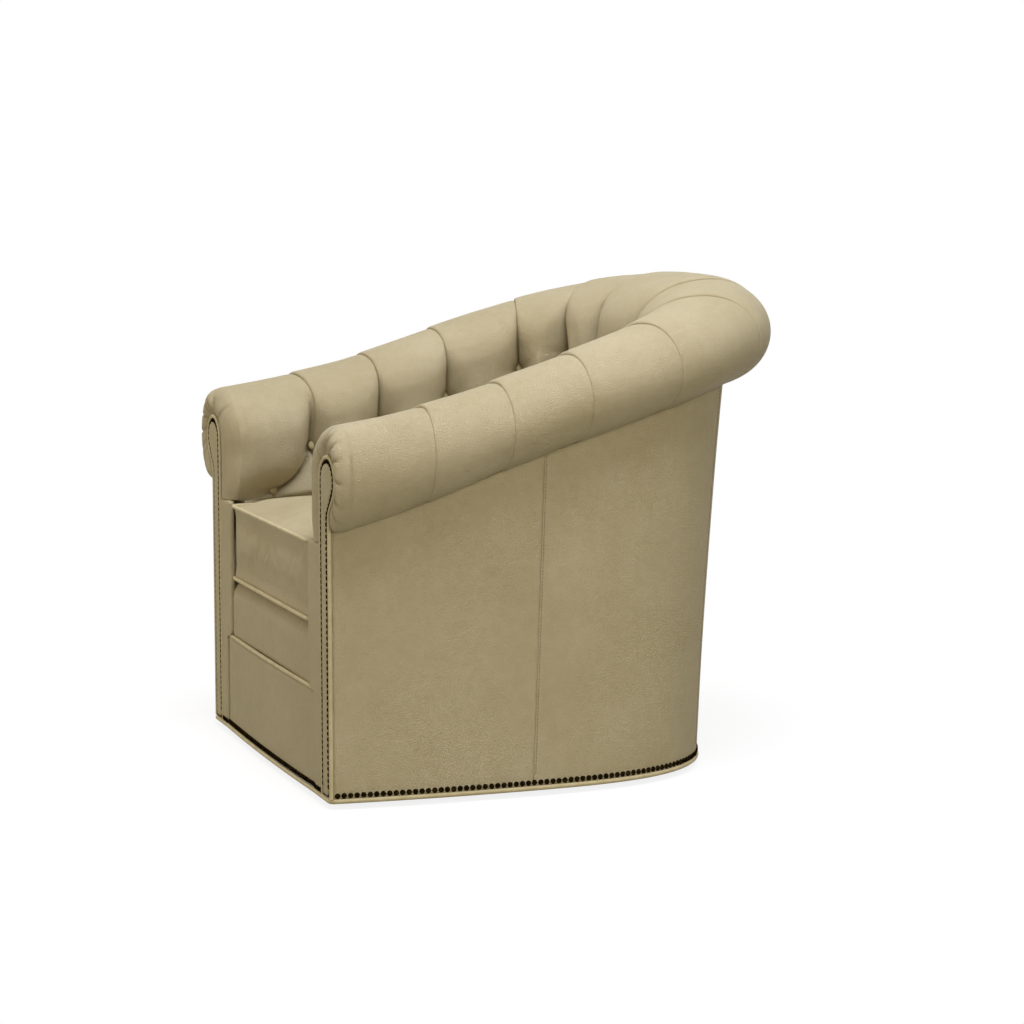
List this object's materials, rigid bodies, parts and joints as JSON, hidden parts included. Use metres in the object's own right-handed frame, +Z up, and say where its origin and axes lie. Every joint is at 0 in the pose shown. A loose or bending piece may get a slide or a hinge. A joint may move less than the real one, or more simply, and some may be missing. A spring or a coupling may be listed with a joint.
{
  "type": "swivel armchair",
  "caption": "Tub-shaped swivel armchair with a sloping pleated roll, deep-buttoned lining, scroll arm facings, nail-head trim and a loose seat cushion on a hidden ball-race swivel.",
  "frame": {"origin": "on the floor, under the middle of the chair's bounding box", "axes": "+Z up, the chair faces -Y, +X is the sitter's left"},
  "size_m": [0.8938, 0.9024, 0.841],
  "materials": {
    "leather": "pale olive-cream pebbled hide with a soft sheen",
    "plywood": "birch plywood, unfinished",
    "beech": "beech, unfinished",
    "plated_steel": "zinc-plated pressed steel",
    "spring_steel": "oil-tempered steel",
    "glide_plastic": "matt nylon",
    "deck_felt": "cotton felt under calico",
    "webbing": "jute webbing",
    "black_cambric": "black dust cloth"
  },
  "bodies": {
    "swivel_base": {"floor_glides": "glide_plastic", "plinth_board": "plywood", "lower_swivel_plate": "plated_steel", "lower_plate_screws": "spring_steel", "swivel_rivet": "plated_steel"},
    "ball_race": {"bearing_balls": "spring_steel", "ball_retainer": "plated_steel"},
    "chair": {"upper_swivel_plate": "plated_steel", "upper_plate_bolts": "spring_steel", "cross_rail_front": "beech", "cross_rail_back": "beech", "bottom_rail_front": "plywood", "bottom_rail_left": "plywood", "bottom_rail_right": "plywood", "bottom_rail_back": "plywood", "seat_frame": "plywood", "front_rail": "beech", "arm_post_left": "beech", "arm_post_right": "beech", "side_uprights": "beech", "back_uprights": "beech", "top_rail": "plywood", "scroll_board_left": "plywood", "scroll_board_right": "plywood", "corner_blocks": "beech", "seat_springs": "spring_steel", "spring_clips": "spring_steel", "deck_pad": "deck_felt", "back_webbing": "webbing", "dust_cover": "black_cambric", "inside_arm_left": "leather", "inside_arm_right": "leather", "inside_back": "leather", "upper_buttons": "leather", "lower_buttons": "leather", "outside_arm_left": "leather", "outside_arm_right": "leather", "outside_corner_left": "leather", "outside_corner_right": "leather", "outside_back": "leather", "arm_facing_left": "leather", "arm_facing_right": "leather", "facing_welt_left": "leather", "facing_welt_right": "leather", "arm_border_left": "leather", "arm_border_right": "leather", "front_border": "leather", "front_panel": "leather", "front_welt": "leather", "bottom_welt": "leather"},
    "cushion": {"seat_cushion": "leather", "cushion_welt_top": "leather", "cushion_welt_bottom": "leather"}
  },
  "joints": [
    {"name": "swivel", "type": "hinge", "parent": "swivel_base", "child": "chair", "pos_m": [0, -0.04316, 0.03], "axis": [0, 0, 1], "continuous": true},
    {"name": "ball_race_turn", "type": "hinge", "parent": "swivel_base", "child": "ball_race", "pos_m": [0, -0.04316, 0.03], "axis": [0, 0, 1], "continuous": true},
    {"name": "cushion_pull_out", "type": "slide", "parent": "chair", "child": "cushion", "axis": [0, -1, 0], "range_m": [0, 0.3]}
  ],
  "couplings": [
    {"joint": "ball_race_turn", "follows": "swivel", "ratio": 0.5}
  ]
}
